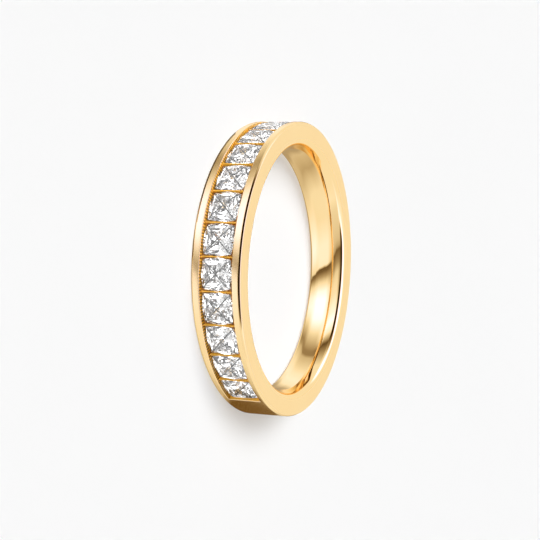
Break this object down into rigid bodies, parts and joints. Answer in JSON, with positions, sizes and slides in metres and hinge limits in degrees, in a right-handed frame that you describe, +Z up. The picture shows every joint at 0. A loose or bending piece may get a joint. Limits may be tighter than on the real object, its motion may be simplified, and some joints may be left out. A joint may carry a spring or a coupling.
{
  "type": "channel set band ring",
  "caption": "Yellow gold finger ring with a row of square princess cut stones set in a channel between two plain rims, tapering towards the back.",
  "frame": {"origin": "centre of the finger hole, on the plane of the lower side face that the ring lies on", "axes": "+Z up, at right angles to the lower side face, towards the upper side face; -Y towards the middle of the stone row; +X to the right seen from the stones. The finger hole's own axis leans 1.16 degrees from +Z towards +Y, because the two side faces taper evenly."},
  "size_m": [0.021, 0.021, 0.0036],
  "materials": {
    "yellow_gold": "polished yellow gold",
    "white_stone": "clear colourless princess cut stone, polished facets"
  },
  "bodies": {
    "root": {"band": "yellow_gold", "stone_1": "white_stone", "stone_2": "white_stone", "stone_3": "white_stone", "stone_4": "white_stone", "stone_5": "white_stone", "stone_6": "white_stone", "stone_7": "white_stone", "stone_8": "white_stone", "stone_9": "white_stone", "stone_10": "white_stone", "stone_11": "white_stone", "stone_12": "white_stone", "stone_13": "white_stone"}
  },
  "joints": []
}
